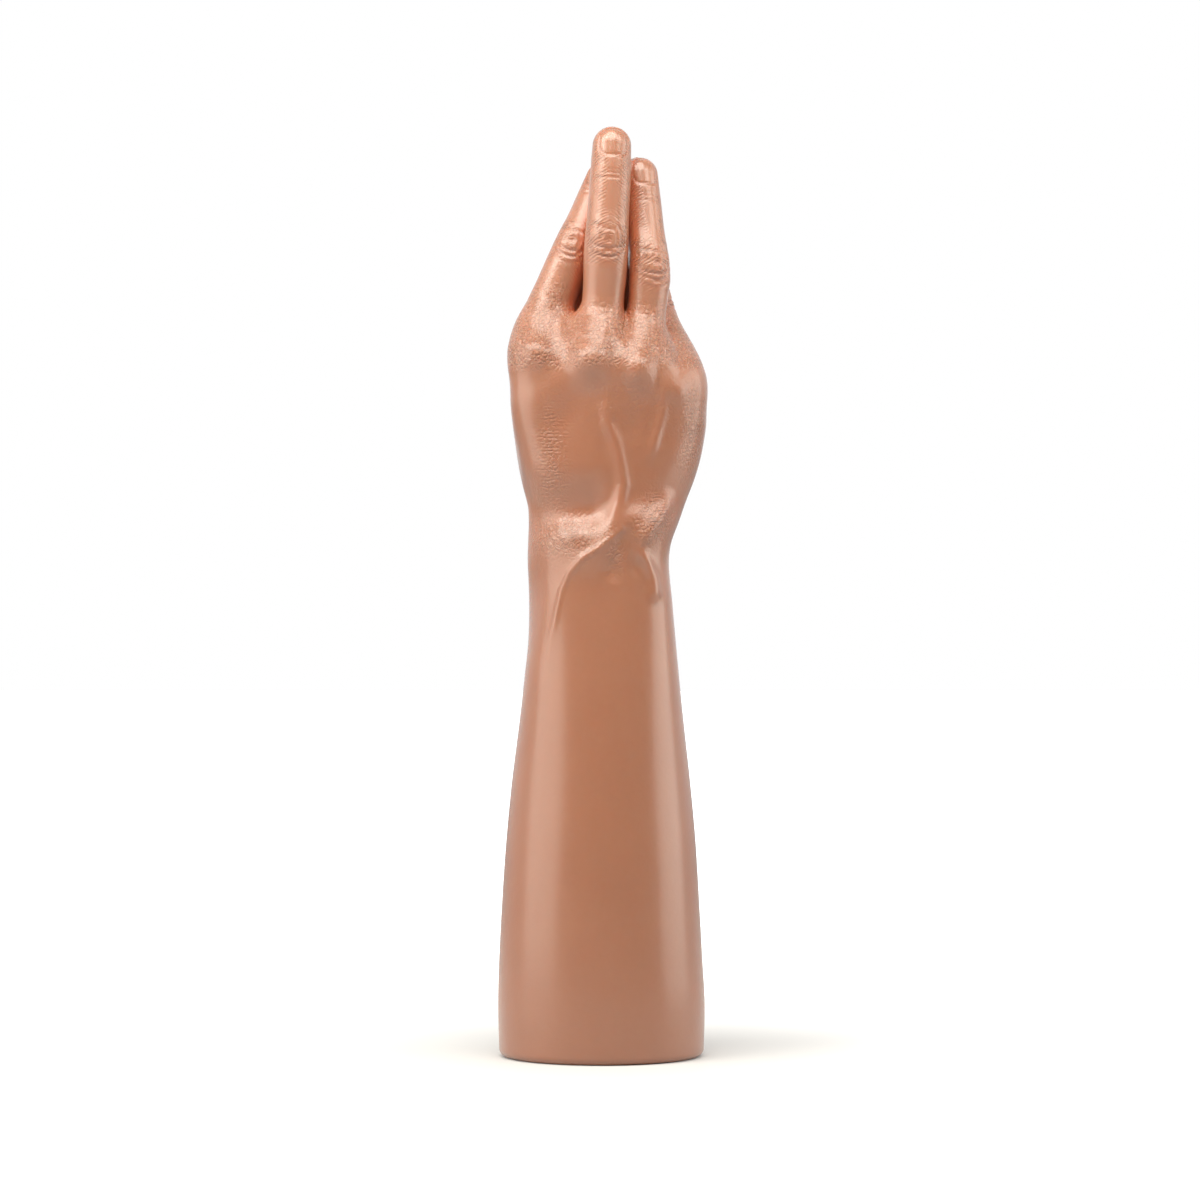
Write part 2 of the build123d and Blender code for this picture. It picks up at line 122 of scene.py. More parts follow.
def spline(table, steps):
    """Catmull-Rom points through a table's rows."""
    table = np.asarray(table, float)
    padded = np.vstack([2 * table[0] - table[1], table, 2 * table[-1] - table[-2]])
    out = []
    for i in range(1, len(padded) - 2):
        p0, p1, p2, p3 = padded[i - 1:i + 3]
        for t in np.linspace(0, 1, steps, endpoint=False):
            out.append(0.5 * (2 * p1 + (p2 - p0) * t + (2 * p0 - 5 * p1 + 4 * p2 - p3) * t * t
                              + (3 * p1 - p0 - 3 * p2 + p3) * t ** 3))
    return np.array(out + [table[-1]])


FOREARM_FINE = spline(FOREARM, 6)
DIGIT_LINES = {name: spline(points, 4) for name, points in DIGITS.items()}


def nearest_on_line(points, line):
    """Distance to a line of (x, y, z, radius) less its radius, arc length there and offset from it."""
    best = np.full(len(points), 1e9)
    along = np.zeros(len(points))
    offset = np.zeros((len(points), 3))
    travelled = 0.0
    for a, b in zip(line, line[1:]):
        run = b[:3] - a[:3]
        length = np.linalg.norm(run)
        h = np.clip((points - a[:3]) @ run / length ** 2, 0.0, 1.0)
        away = points - a[:3] - h[:, None] * run
        distance = np.sqrt((away ** 2).sum(1)) - (a[3] + h * (b[3] - a[3]))
        closer = distance < best
        best = np.where(closer, distance, best)
        along = np.where(closer, travelled + h * length, along)
        offset = np.where(closer[:, None], away, offset)
        travelled += length
    return best, along, offset


def within(points, low, high):
    return np.all((points > low) & (points < high), axis=1)


def polyline_place(x, z, points):
    """Distance to a line in X and Z, and the share of its length at the nearest place."""
    best = np.full(len(x), 1e9)
    share = np.zeros(len(x))
    steps = [math.hypot(b[0] - a[0], b[1] - a[1]) for a, b in zip(points, points[1:])]
    passed = 0.0
    for (ax, az), (bx, bz), step in zip(points, points[1:], steps):
        rx, rz = bx - ax, bz - az
        h = np.clip(((x - ax) * rx + (z - az) * rz) / step ** 2, 0, 1)
        distance = np.hypot(x - ax - h * rx, z - az - h * rz)
        closer = distance < best
        best = np.where(closer, distance, best)
        share = np.where(closer, (passed + h * step) / sum(steps), share)
        passed += step
    return best, share


def stroke(x, z, line, width):
    """A rounded ridge of height 1 along a line, fading at its ends."""
    away, share = polyline_place(x, z, line)
    return np.exp(-(away / width) ** 2) * smoothstep(0, 0.3, share) * smoothstep(1, 0.75, share)


def inside_polygon(x, z, corners):
    inside = np.zeros(len(x), bool)
    for (ax, az), (bx, bz) in zip(corners, np.roll(corners, -1, axis=0)):
        crosses = (az > z) != (bz > z)
        inside ^= crosses & (x < ax + (z - az) * (bx - ax) / (bz - az + 1e-12))
    return inside


def forearm_distance(points):
    z = points[:, 2]
    left = np.interp(z, FOREARM_FINE[:, 0], FOREARM_FINE[:, 1])
    right = np.interp(z, FOREARM_FINE[:, 0], FOREARM_FINE[:, 2])
    depth = np.interp(z, FOREARM_FINE[:, 0], FOREARM_FINE[:, 3])
    x = points[:, 0] - (left + right) / 2
    y = points[:, 1]
    power = 2.0 + 0.5 * smoothstep(100, 190, z)
    reach = np.sqrt(x * x + y * y) + 1e-6
    q = ((np.abs(x) / ((right - left) / 2)) ** power + (np.abs(y) / depth) ** power) ** (1 / power)
    side = reach - reach / np.maximum(q, 1e-3)
    return -smooth_min(-side, -(z - 206.0), 8.0)


def ellipsoid_distance(points, centre, axes, lean):
    p = points - np.array(centre)
    p[:, 0] -= lean * p[:, 2]
    k0 = np.sqrt(((p / axes) ** 2).sum(1))
    k1 = np.sqrt(((p / np.square(axes)) ** 2).sum(1)) + 1e-9
    return k0 * (k0 - 1.0) / k1


# the flat back of the forearm, which ends in a curved edge at the wrist: x and z round it
PLATEAU = np.array([
    (8.6, 204.0), (3.8, 200.2), (-0.9, 196.9), (-7.6, 192.8), (-12.4, 187.3), (-15.2, 180.5),
    (-16.8, 174.0), (-18.6, 166.0), (-20.8, 153.0), (-21.0, 140.0), (22.0, 140.0), (21.0, 160.0),
    (20.5, 176.0), (19.4, 186.0), (17.4, 196.0), (14.0, 202.0),
])
WRIST_EDGE = 9  # the first corners of it are the curved edge


def wrist_hollow(x, y, z):
    """How far the back of the wrist falls in beyond the forearm's flat back."""
    edge = polyline_place(x, z, PLATEAU[:WRIST_EDGE])[0]
    edge = np.where(inside_polygon(x, z, PLATEAU), 0.0, edge)
    fall = 4.2 * (1 - np.exp(-edge / 8.0)) * smoothstep(150, 184, z) * smoothstep(230, 207, z)
    fall += 1.0 * np.exp(-((z - 210) / 8.0) ** 2)
    return fall * smoothstep(9, -5, x) * smoothstep(3, -14, y)


def skin_distance(points):
    """Signed distance in mm to the outside of the skin, before its relief."""
    d = forearm_distance(points)
    high = points[:, 2] > HAND_Z
    p = points[high]
    palm = np.full(len(p), FAR)
    for a, b in PALM_BONES:
        bone, _, _ = nearest_on_line(p, np.array([a, b]))
        palm = smooth_min(palm, bone, 10.0)
    for centre, axes, lean in PALM_MASSES:
        palm = smooth_min(palm, ellipsoid_distance(p, centre, axes, lean), 9.0)
    body = smooth_min(d[high], palm, 12.0)
    fingers = np.full(len(p), FAR)
    for name, line in DIGIT_LINES.items():
        near = within(p, line[:, :3].min(0) - DIGIT_REACH, line[:, :3].max(0) + DIGIT_REACH)
        digit, _, _ = nearest_on_line(p[near], line)
        if name == "thumb":
            body[near] = smooth_min(body[near], digit, 7.0)
        else:
            fingers[near] = smooth_min(fingers[near], digit, 1.3)
    d[high] = smooth_min(body, fingers, 8.0)
    for centre, axes in DEEP_WEBS:
        near = within(points, np.array(centre) - axes - 4.0, np.array(centre) + axes + 4.0)
        d[near] = smooth_min(d[near], ellipsoid_distance(points[near], centre, axes, 0.0), 2.0)
    near = (points[:, 1] < 3) & (points[:, 2] > 148) & (points[:, 2] < 232)
    d[near] += wrist_hollow(*points[near].T)
    return d


def gradient(distance, points, step=0.05):
    corners = np.array([(1, -1, -1), (-1, -1, 1), (-1, 1, -1), (1, 1, 1)], float)
    g = sum(c * distance(points + step * c)[:, None] for c in corners)
    return g / (np.sqrt((g ** 2).sum(1))[:, None] + 1e-12)


def on_surface(distance, points):
    for _ in range(2):
        points = points - distance(points)[:, None] * gradient(distance, points)
    return points


def surface_net(distance, xs, ys, zs):
    """Vertices and quads of distance = 0 on a grid, open where the grid ends at its lowest z."""
    coarse = 4
    shape = (len(xs), len(ys), len(zs))
    cx, cy, cz = xs[::coarse], ys[::coarse], zs[::coarse]
    rough = distance(np.stack(np.meshgrid(cx, cy, cz, indexing="ij"), -1).reshape(-1, 3))
    rough = rough.reshape(len(cx), len(cy), len(cz))
    index = [np.minimum(np.round(np.arange(n) / coarse).astype(int), len(c) - 1)
             for n, c in zip(shape, (cx, cy, cz))]
    field = rough[np.ix_(*index)]
    reach = 1.2 * coarse * max(np.diff(xs).max(), np.diff(zs).max())
    near = np.argwhere(np.abs(field) < reach)
    field[tuple(near.T)] = distance(np.stack([xs[near[:, 0]], ys[near[:, 1]], zs[near[:, 2]]], -1))
    inside = field < 0
    count = sum(
        inside[i:shape[0] - 1 + i, j:shape[1] - 1 + j, k:shape[2] - 1 + k].astype(np.int8)
        for i in (0, 1) for j in (0, 1) for k in (0, 1))
    cells = np.argwhere((count > 0) & (count < 8))
    number = np.full(count.shape, -1, np.int32)
    number[tuple(cells.T)] = np.arange(len(cells))
    total = np.zeros((len(cells), 3))
    hits = np.zeros(len(cells))
    corners = [(i, j, k) for i in (0, 1) for j in (0, 1) for k in (0, 1)]
    values = {c: field[tuple((cells + c).T)] for c in corners}
    places = {c: np.stack([xs[cells[:, 0] + c[0]], ys[cells[:, 1] + c[1]], zs[cells[:, 2] + c[2]]], -1)
              for c in corners}
    for a in corners:
        for axis in range(3):
            if a[axis]:
                continue
            b = tuple(1 if n == axis else v for n, v in enumerate(a))
            crossed = (values[a] < 0) != (values[b] < 0)
            t = np.where(crossed, values[a] / (values[a] - values[b] + 1e-12), 0.0)
            total += np.where(crossed[:, None], places[a] + t[:, None] * (places[b] - places[a]), 0.0)
            hits += crossed
    vertices = total / hits[:, None]
    quads = []
    for axis in range(3):
        u, v = [(1, 2), (2, 0), (0, 1)][axis]
        low = [slice(None)] * 3
        high = [slice(None)] * 3
        low[axis] = slice(0, -1)
        high[axis] = slice(1, None)
        change = inside[tuple(low)].astype(np.int8) - inside[tuple(high)].astype(np.int8)
        edges = np.argwhere(change != 0)
        sign = change[tuple(edges.T)]
        ok = (edges[:, u] > 0) & (edges[:, v] > 0)
        ok &= (edges[:, u] < shape[u] - 1) & (edges[:, v] < shape[v] - 1)
        edges, sign = edges[ok], sign[ok]
        ring = []
        for du, dv in ((-1, -1), (0, -1), (0, 0), (-1, 0)):
            cell = edges.copy()
            cell[:, u] += du
            cell[:, v] += dv
            ring.append(number[tuple(cell.T)])
        ring = np.stack(ring, -1)
        ring[sign < 0] = ring[sign < 0][:, ::-1]
        quads.append(ring)
    return vertices, np.vstack(quads)


# ---------------------------------------------------------------- relief of the skin, in mm
# edges of the hand as seen from the back: height, left, right
EDGES = np.array([
    (176.0, -28.2, 27.4), (184.0, -28.5, 26.8), (192.0, -28.9, 26.3), (200.0, -28.5, 27.4),
    (207.9, -28.3, 30.6), (215.6, -29.5, 33.4), (223.4, -31.4, 36.3), (231.2, -32.8, 38.6),
    (238.9, -33.8, 40.0), (246.7, -34.8, 41.0), (254.5, -35.6, 41.2), (262.2, -36.0, 41.0),
    (270.0, -36.4, 39.2), (277.8, -36.2, 35.2), (285.5, -33.6, 30.9), (293.3, -29.2, 28.4),
])
# ridges and hollows on the back of the hand: height, half width, then x and z along them
BACK_STROKES = [
    (1.5, 2.6, [(0.6, 262), (1.6, 253), (2.4, 244), (5.2, 238), (7.4, 228), (8.6, 221), (7.0, 214),
                (4.4, 208), (1.6, 203)]),
    (0.9, 1.9, [(24.8, 266), (24.2, 259), (23.1, 249), (21.0, 241), (19.4, 234), (18.5, 228)]),
    (-0.6, 3.0, [(9.0, 268), (11.5, 252), (12.5, 234)]),
    (1.6, 3.0, [(28.5, 220), (26.2, 216), (22.6, 208), (17.6, 199.5), (15.5, 196)]),
    (1.6, 2.4, [(13.6, 199), (15.2, 197), (18.0, 192), (19.8, 185), (20.4, 174)]),
    (-1.3, 3.6, [(11.0, 206), (7.6, 198), (5.0, 190), (3.6, 182)]),
    (-1.0, 3.2, [(12.0, 210), (12.8, 202), (13.4, 192), (14.0, 184)]),
]
# knuckles: x, z, height, half width, half height
KNUCKLES = [
    (-26.0, 272.5, 1.8, 5.0, 5.5), (-5.6, 268.5, 2.2, 5.6, 6.4), (14.0, 265.5, 2.0, 4.8, 6.0),
    (29.4, 257.5, 1.9, 4.4, 5.6), (-15.5, 274.0, -0.9, 4.0, 8.5), (5.2, 271.5, -1.1, 2.8, 8.0),
    (9.6, 282.0, -1.0, 2.4, 5.0), (22.4, 264.0, -0.9, 2.8, 7.0),
]
PALM_STROKES = [
    (-0.9, 1.1, [(-29.0, 262), (-19.0, 259), (-8.0, 248), (-1.0, 232), (0.5, 214)]),
    (-0.8, 1.0, [(-30.0, 256), (-10.0, 256), (8.0, 249), (20.0, 238)]),
    (-0.8, 1.0, [(32.0, 251), (18.0, 255), (2.0, 264), (-6.0, 272)]),
    (-0.6, 0.9, [(-20.0, 203), (-4.0, 200.5), (12.0, 201), (22.0, 204)]),
    (-0.4, 0.8, [(-19.0, 207), (-4.0, 204.5), (12.0, 205), (21.0, 208)]),
    (0.9, 1.9, [(-3.6, 204), (-3.4, 185), (-3.0, 160)]),
    (0.6, 1.7, [(3.6, 203), (3.4, 186), (3.0, 164)]),
]
# which way each digit's back faces, as an angle from -Y towards +X
BACK_ANGLE = {"index": -14.0, "middle": 6.0, "ring": 24.0, "little": 44.0, "thumb": 196.0}
# rows of each digit's line: middle joint and end joint
JOINTS = {"index": (2, 4), "middle": (2, 4), "ring": (2, 4), "little": (2, 4), "thumb": (2, 4)}


def fit_edges(points, reference):
    """Moves points sideways so that the reference's outline has the wanted edges at each height."""
    wanted = spline(EDGES, 4)
    z = wanted[:, 0]
    found = np.array([[s[:, 0].min(), s[:, 0].max()]
                      for s in (reference[np.abs(reference[:, 2] - h) < 1.2] for h in z)])
    scale = 1.0 + (wanted[:, 1:] / found - 1.0) * smoothstep(176, 186, z)[:, None]
    for _ in range(3):
        scale[1:-1] = (scale[:-2] + 2 * scale[1:-1] + scale[2:]) / 4
    fade = 1.0 - smoothstep(293, 302, points[:, 2])
    left = 1.0 + (np.interp(points[:, 2], z, scale[:, 0]) - 1.0) * fade
    right = 1.0 + (np.interp(points[:, 2], z, scale[:, 1]) - 1.0) * fade
    share = smoothstep(-12, 12, points[:, 0])
    out = points.copy()
    out[:, 0] *= left + (right - left) * share
    return out


def digit_frame(points, name):
    """Distance, arc length, distance round the digit from the middle of its back, and radius."""
    line = DIGIT_LINES[name]
    distance, along, offset = nearest_on_line(points, line)
    steps = np.linalg.norm(np.diff(line[:, :3], axis=0), axis=1)
    travelled = np.concatenate([[0], np.cumsum(steps)])
    angle = math.radians(BACK_ANGLE[name])
    back = np.array([math.sin(angle), -math.cos(angle), 0.0])
    axis = np.stack([np.interp(along, travelled, np.gradient(line[:, i], travelled)) for i in range(3)], -1)
    axis /= np.linalg.norm(axis, axis=1)[:, None]
    back = back - axis * (axis @ back)[:, None]
    back /= np.linalg.norm(back, axis=1)[:, None]
    side = np.cross(axis, back)
    turn = np.arctan2((offset * side).sum(1), (offset * back).sum(1))
    radius = np.interp(along, travelled, line[:, 3])
    rows = [travelled[4 * r] for r in JOINTS[name]] + [travelled[-1]]
    return distance, along, turn * radius, turn, rows


def relief(points, normals):
    """Height of the relief over the skin at each point, and the masks that the material reads."""
    x, y, z = points.T
    lift = np.zeros(len(x))
    mask = {name: np.zeros(len(x)) for name in ("nail", "lines", "folds", "crease_shade", "along")}
    back = smoothstep(0.1, 0.6, -normals[:, 1]) * (1 - smoothstep(283, 292, z))
    palm = smoothstep(0.1, 0.6, normals[:, 1]) * (1 - smoothstep(268, 280, z))
    for height, width, line in BACK_STROKES:
        lift += back * height * stroke(x, z, line, width)
    for height, width, line in PALM_STROKES:
        shape = stroke(x, z, line, width)
        lift += palm * height * shape
        if height < 0:
            # the palm's creases get painted shade too
            mask["crease_shade"] += palm * shape * 0.7
    for kx, kz, height, wide, tall in KNUCKLES:
        lift += back * height * np.exp(-((x - kx) / wide) ** 2 - ((z - kz) / tall) ** 2)
    edge = polyline_place(x, z, PLATEAU[:WRIST_EDGE])[0]
    lift += back * 0.5 * np.exp(-(edge / 1.2) ** 2) * smoothstep(150, 186, z)
    # digits
    nearest = np.full(len(x), 1e9)
    for name in DIGITS:
        area = z > (230 if name == "thumb" else 262)
        index = np.flatnonzero(area)
        distance, along, across, turn, (middle, end, tip) = digit_frame(points[index], name)
        mine = distance < np.minimum(nearest[index], 2.2)
        index, along, across, turn = index[mine], along[mine], across[mine], turn[mine]
        nearest[index] = distance[mine]
        on_back = smoothstep(0.0, 0.5, np.cos(turn))
        on_pad = smoothstep(0.1, 0.6, -np.cos(turn))
        part = np.zeros(len(index))
        # painted shade for the material, laid in the folds, the knuckle pits and the nail grooves
        crease_shade = np.zeros(len(index))
        eye = middle + (3.6 if name == "middle" else 1.5)
        rho = np.hypot((along - eye) / 5.6, across / 5.0)
        rings = np.cos(2 * np.pi * rho * 2.3) * np.exp(-((rho - 0.95) / 0.55) ** 2)
        one_side = 0.35 + 0.65 * smoothstep(-1.0, 3.0, across - 0.5 * (along - eye))
        part += on_back * 0.20 * rings * one_side
        pit = on_back * np.exp(-(rho / 0.24) ** 2)
        part -= 0.45 * pit
        crease_shade += 0.5 * pit
        for offset, depth in ((-3.2, 0.75), (-5.4, 0.65), (-7.4, 0.25), (3.6, 0.25)):
            bow = 0.035 * across ** 2
            fold = np.exp(-((along - eye - offset - bow) / 0.6) ** 2) * np.exp(-(across / 6.5) ** 2)
            part -= on_back * depth * fold
            crease_shade += on_back * depth * fold
        for offset, depth in ((-0.9, 0.22), (0.9, 0.18), (2.3, 0.1)):
            fold = np.exp(-((along - end - offset) / 0.45) ** 2) * np.exp(-(across / 5.0) ** 2)
            part -= on_back * depth * fold
        for place, depth in ((middle, 0.7), (middle - 2.4, 0.3), (end, 0.6), (end + 1.6, 0.2)):
            fold = np.exp(-((along - place) / 0.8) ** 2) * on_pad
            part -= depth * fold
            crease_shade += depth * fold
        # the pad of the fingertip and the soft middle of each segment
        part += on_pad * 0.8 * np.exp(-((along - end - 8.5) / 5.5) ** 2)
        part += on_pad * 0.7 * np.exp(-((along - (middle + end) / 2) / 6.5) ** 2)
        # the nail
        radius = DIGITS[name][-1][3]
        half_wide, half_long = 0.82 * radius, 5.4 if name == "thumb" else 5.3
        nail_middle = tip + 0.35 * radius - half_long + 3.0
        u = across / half_wide
        # past the tip's centre the arc length stops, so the reach towards the tip counts on
        before, last = DIGIT_LINES[name][-2:, :3]
        beyond = np.maximum(0, (points[index] - last) @ (last - before) / np.linalg.norm(last - before))
        v = (along + beyond - nail_middle) / half_long
        box = (np.abs(u) ** 3.2 + np.abs(v) ** 3.2) ** (1 / 3.2)
        plate = smoothstep(1.04, 0.92, box) * (np.cos(turn) > 0)
        groove = np.exp(-((box - 1.03) / 0.085) ** 2) * (np.cos(turn) > 0)
        part += -0.38 * groove - 0.18 * plate + 0.3 * plate * smoothstep(0.2, 0.95, v)
        crease_shade += 0.45 * groove
        lift[index] += part
        mask["nail"][index] = plate
        mask["crease_shade"][index] += crease_shade
        mask["along"][index] = along + 0.55 * np.abs(across)
        beside = smoothstep(1.2, 4.2, np.abs(across))
        lined = on_back * (1 - plate)
        mask["lines"][index] = lined * np.exp(-((along - eye) / 7.5) ** 2) * (0.5 + 0.5 * beside)
        mask["lines"][index] += 0.7 * lined * smoothstep(middle + 2, middle + 6, along) * beside
    # fine lines across the hollow beside the first knuckle's bone and at the wrist
    plain = nearest > 2.2
    mask["along"] = np.where(plain, z, mask["along"])
    beside = 0.38 * np.exp(-((x + 19) / 5.5) ** 2) * smoothstep(208, 214, z) * smoothstep(258, 250, z)
    ridge = np.exp(-((x - 22) / 5.0) ** 2 - ((z - 208) / 8.0) ** 2)
    mask["lines"] = np.where(plain, back * np.maximum(0.8 * beside, ridge), mask["lines"])
    # where the skin lies in fine folds: over and above the knuckles, the wrist and the hand's edges
    fold = smoothstep(262, 272, z) * smoothstep(296, 282, z)
    for fx, fz, wide, tall, much in (
        (-13, 202, 13, 7, 1.0), (6, 194, 4, 6, 0.6), (20, 207, 6, 9, 0.9), (35, 245, 5, 16, 0.8),
        (-19, 228, 6, 30, 0.42), (-24, 290, 9, 16, 0.9), (12, 255, 22, 14, 0.25),
    ):
        fold = np.maximum(fold, much * np.exp(-((x - fx) / wide) ** 2 - ((z - fz) / tall) ** 2))
    mask["folds"] = fold * (1 - mask["nail"]) * (0.25 + 0.75 * smoothstep(0.4, -0.3, normals[:, 1]))
    return lift, mask


# ---------------------------------------------------------------- building the skin
def ring_of(z, inset, angles):
    """A ring of the forearm at that height, drawn in by inset."""
    row = [np.interp(z, FOREARM_FINE[:, 0], FOREARM_FINE[:, i]) for i in (1, 2, 3)]
    middle, half, depth = (row[0] + row[1]) / 2, (row[1] - row[0]) / 2 - inset, row[2] - inset
    power = 2.0 + 0.5 * float(smoothstep(100, 190, z))
    c, s = np.cos(angles), np.sin(angles)
    reach = ((np.abs(c) / half) ** power + (np.abs(s) / depth) ** power) ** (-1 / power)
    return np.stack([middle + reach * c, reach * s, np.full(len(angles), float(z))], -1)


def bridge(points, lower, upper, inward):
    """Triangles between two closed rings of vertex numbers, both in order of angle."""
    def turn(ring):
        around = np.arctan2(points[ring, 1], points[ring, 0])
        start = int(np.argmin(around))
        ring = np.roll(ring, -start)
        around = np.maximum.accumulate(np.roll(around, -start))
        return list(ring) + [ring[0]], list(around) + [around[0] + 2 * math.pi]
    a, at = turn(lower)
    b, bt = turn(upper)
    faces = []
    i = j = 0
    while i < len(a) - 1 or j < len(b) - 1:
        if j == len(b) - 1 or (i < len(a) - 1 and at[i + 1] <= bt[j + 1]):
            faces.append((a[i], a[i + 1], b[j]))
            i += 1
        else:
            faces.append((a[i], b[j + 1], b[j]))
            j += 1
    return [f[::-1] for f in faces] if inward else faces


def open_ring(quads, points):
    """The net's open edge, as a ring in order of angle round the axis."""
    edges = np.sort(np.stack([quads, np.roll(quads, -1, axis=1)], -1).reshape(-1, 2), axis=1)
    pairs, uses = np.unique(edges, axis=0, return_counts=True)
    rim = pairs[uses == 1]
    follows = {}
    for a, b in rim:
        follows.setdefault(int(a), []).append(int(b))
        follows.setdefault(int(b), []).append(int(a))
    start = int(rim[0][0])
    ring, previous, here = [start], -1, start
    while True:
        step = [n for n in follows[here] if n != previous]
        previous, here = here, step[0]
        if here == start:
            break
        ring.append(here)
    ring = np.array(ring)
    around = np.unwrap(np.arctan2(points[ring, 1], points[ring, 0]))
    return ring[::-1] if around[-1] < around[0] else ring


def wall(z):
    return 2.9 - 0.8 * smoothstep(110, 150, z) + 0.3 * smoothstep(190, 200, z)


def grid_lines(step, low, high, coarse_below=200.0):
    """The sculpting grid's X, Y and Z, with taller cells below the hand."""
    xs = np.arange(-45.0, 46.0, step)
    ys = np.arange(-39.0, 41.0, step)
    zs = np.concatenate([np.arange(low, coarse_below, 1.5 * step), np.arange(coarse_below, high, step)])
    return xs, ys, zs


outer_net, outer_quads = surface_net(skin_distance, *grid_lines(GRID, JOIN_Z, HEIGHT + 3))
outer_net = on_surface(skin_distance, outer_net)
inner_net, inner_quads = surface_net(
    lambda p: skin_distance(p) + wall(p[:, 2]), *grid_lines(2.2, JOIN_Z, HEIGHT + 3))
reference = outer_net.copy()

ANGLES = np.linspace(-math.pi, math.pi, 220, endpoint=False)
profile = [(z, 0.0) for z in np.linspace(JOIN_Z - 1.4, BASE_EDGE, 60)]
profile += [(BASE_EDGE * (1 - math.sin(t)), BASE_EDGE * (1 - math.cos(t)))
            for t in np.linspace(0, math.pi / 2, 9)[1:]]
profile += [(0.0, inset) for inset in (4.2, 5.6, 7.0)]
profile += [(1.0 - math.cos(t), MOUTH - 1.0 + math.sin(t)) for t in np.linspace(0, math.pi / 2, 6)]
profile += [(RIM - 0.1, MOUTH), (RIM, MOUTH - 1.0), (RIM, 5.6)]
profile += [(RIM, wall(0.0) + 0.3), (RIM + 0.6, wall(0.0))]
profile += [(z, float(wall(z))) for z in np.linspace(8.0, JOIN_Z - 3.0, 40)]
rings = np.vstack([ring_of(z, inset, ANGLES) for z, inset in profile])
n_ring = len(ANGLES)
ring_quads = []
for r in range(len(profile) - 1):
    here = r * n_ring + np.arange(n_ring)
    ring_quads.append(np.stack([here, here + n_ring, np.roll(here, -1) + n_ring, np.roll(here, -1)], -1))
ring_quads = np.vstack(ring_quads)

points = np.vstack([outer_net, rings, inner_net])
n_outer, n_rings = len(outer_net), len(rings)
outer_ring = open_ring(outer_quads, outer_net)
inner_ring = open_ring(inner_quads, inner_net) + n_outer + n_rings
first_ring = n_outer + np.arange(n_ring)
last_ring = n_outer + n_rings - n_ring + np.arange(n_ring)
inner_faces = inner_quads[:, ::-1] + n_outer + n_rings
faces = [tuple(q) for q in outer_quads] + [tuple(q) for q in ring_quads + n_outer]
faces += [tuple(q) for q in inner_faces]
faces += bridge(points, first_ring, outer_ring, False) + bridge(points, last_ring, inner_ring, True)

smooth_normals = gradient(skin_distance, points[:n_outer + n_rings])
lift, masks = relief(points[:n_outer], smooth_normals[:n_outer])
open_space = np.clip(skin_distance(points[:n_outer] + 5.0 * smooth_normals[:n_outer]) / 5.0, 0, 1)
masks["shade"] = 1.0 - open_space
points[:n_outer] += lift[:, None] * smooth_normals[:n_outer]
above = points[:, 2] > JOIN_Z
points[above] = fit_edges(points[above], reference)


def make_mesh(name, points, faces):
    mesh = bpy.data.meshes.new(name)
    mesh.from_pydata((points * MM).tolist(), [], [tuple(int(i) for i in f) for f in faces])
    mesh.validate()
    mesh.update()
    mesh.shade_smooth()
    obj = bpy.data.objects.new(name, mesh)
    bpy.context.scene.collection.objects.link(obj)
    return obj


skin = make_mesh("lifelike_skin", points, faces)
for name, values in masks.items():
    layer = skin.data.attributes.new(name, "FLOAT", "POINT")
    full = np.zeros(len(points), np.float32)
    full[:n_outer] = values
    layer.data.foreach_set("value", full)


# ---------------------------------------------------------------- the foam core, moulded round the armature
def box_mm(name):
    low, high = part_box(name)
    return np.array(low) / MM, np.array(high) / MM


plate_low, plate_high = box_mm("hand_plate")
bracket_low, bracket_high = box_mm("armature_bracket")
screws_high = box_mm("clamp_screws")[1]
stud_high = box_mm("wrist_stud")[1]
axis_x, axis_y = (plate_low[:2] + plate_high[:2]) / 2


def core_distance(points):
    """Signed distance to the foam core: the hand drawn in, less the pocket for the bracket and the stud."""
    d = np.maximum(skin_distance(points) + CORE_INSET, plate_high[2] + 0.1 - points[:, 2])
    across = np.hypot(points[:, 0] - axis_x, points[:, 1] - axis_y) - (bracket_high[0] - bracket_low[0]) / 2
    pocket = np.maximum(across, points[:, 2] - stud_high[2] - 0.5)
    low = np.array([bracket_low[0], bracket_low[1], 0.0]) - 0.5
    high = np.array([bracket_high[0], screws_high[1], bracket_high[2]]) + 0.5
    slab = np.maximum(low - points, points - high).max(1)
    return np.maximum(d, -np.minimum(pocket, slab))


core_points, core_faces = surface_net(core_distance, *grid_lines(1.5, plate_high[2] - 3.0, HEIGHT, 196.0))
core = make_mesh("foam_filling", fit_edges(core_points, reference), core_faces)


# ---------------------------------------------------------------- materials
def new_material(name):
    material = bpy.data.materials.new(name)
    material.use_nodes = True
    tree = material.node_tree
    shader = next(n for n in tree.nodes if n.type == "BSDF_PRINCIPLED")
    return material, tree, shader


def node(tree, kind, inputs=None, **settings):
    made = tree.nodes.new(kind)
    for key, value in settings.items():
        setattr(made, key, value)
    for key, value in (inputs or {}).items():
        if isinstance(value, bpy.types.NodeSocket):
            tree.links.new(value, made.inputs[key])
        else:
            made.inputs[key].default_value = value
    return made


def math_node(tree, operation, *values, clamp=False):
    return node(tree, "ShaderNodeMath", dict(enumerate(values)), operation=operation,
                use_clamp=clamp).outputs[0]


def mix_colour(tree, factor, a, b):
    return node(tree, "ShaderNodeMix", {0: factor, 6: a, 7: b}, data_type="RGBA").outputs[2]


def noise(tree, place, scale, detail, roughness=0.5):
    return node(tree, "ShaderNodeTexNoise", {
        "Vector": place, "Scale": scale, "Detail": detail, "Roughness": roughness}).outputs


def bump_node(tree, height, strength, distance, over=None):
    """A bump's normal, on top of another bump's where over is given."""
    inputs = {"Height": height, "Strength": strength, "Distance": distance}
    if over is not None:
        inputs["Normal"] = over
    return node(tree, "ShaderNodeBump", inputs).outputs[0]


def attribute(tree, name):
    return node(tree, "ShaderNodeAttribute", attribute_name=name).outputs["Fac"]


